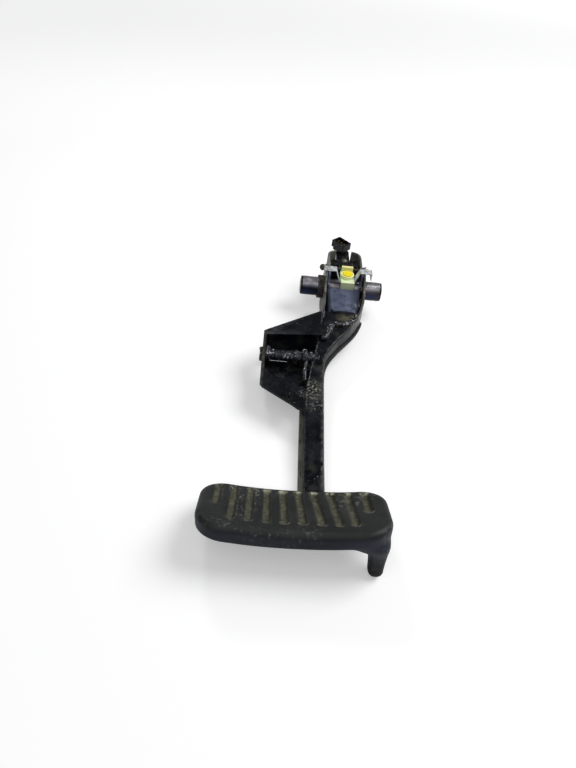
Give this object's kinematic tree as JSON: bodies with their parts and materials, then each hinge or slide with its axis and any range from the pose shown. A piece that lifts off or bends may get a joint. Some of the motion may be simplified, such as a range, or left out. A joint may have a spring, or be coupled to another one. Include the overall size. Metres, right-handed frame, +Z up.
{
  "type": "brake pedal",
  "caption": "Pressed-steel brake pedal with a wide ribbed rubber foot pad, a flared arm with a side bracket and push-rod pin, a pivot tube, and a plunger switch at the hub.",
  "frame": {"origin": "middle of the pivot bore, on the axis of the spacer sleeve and half way along it", "axes": "+X along the pivot, +Y away from the foot pad, +Z up when the pedal lies on a bench with the face of the foot pad up; the bench is 25 mm below the origin"},
  "size_m": [0.1362, 0.3371, 0.0485],
  "materials": {
    "paint": "gloss black paint, scuffed and dusty",
    "hub_sheet": "blue-grey plated sheet, dull at the ears",
    "tube_steel": "bare steel with brown and purple-blue heat tint",
    "collar_steel": "bare steel, browned by welding",
    "bush_plastic": "black moulded plastic",
    "plated_steel": "turned steel, zinc plated",
    "plate_steel": "black painted steel plate",
    "rubber": "black rubber, worn and dusty",
    "spring_steel": "bright spring strip and wire",
    "pale_plastic": "pale yellow-green plastic",
    "yellow_plastic": "yellow moulded plastic",
    "dark_steel": "dark oxidised steel",
    "black_plastic": "black moulded plastic",
    "brass": "plain brass"
  },
  "bodies": {
    "pedal": {"arm_channel": "paint", "arm_back_plate": "paint", "hub_bracket": "hub_sheet", "pivot_tube": "tube_steel", "tube_collar": "collar_steel", "bush_left": "bush_plastic", "bush_right": "bush_plastic", "pushrod_bracket": "paint", "pushrod_pin": "plated_steel", "pad_plate": "plate_steel", "pad_rubber": "rubber", "spring_clip": "spring_steel", "plunger_carrier": "pale_plastic", "plunger_spring": "spring_steel", "retaining_pin": "dark_steel", "pin_lock_ring": "spring_steel", "switch_housing": "black_plastic", "switch_connector": "black_plastic", "terminal_pins": "brass", "housing_screw": "dark_steel"},
    "sleeve": {"pivot_sleeve": "plated_steel"},
    "plunger": {"plunger_cap": "yellow_plastic"}
  },
  "joints": [
    {"name": "pivot_turn", "type": "hinge", "parent": "pedal", "child": "sleeve", "pos_m": [0, 0, 0], "axis": [1, 0, 0], "continuous": true},
    {"name": "plunger_press", "type": "slide", "parent": "pedal", "child": "plunger", "axis": [0, 0, -1], "range_m": [0, 0.0025], "stiffness_N_per_m": 400, "deforming": ["plunger_spring"]}
  ]
}
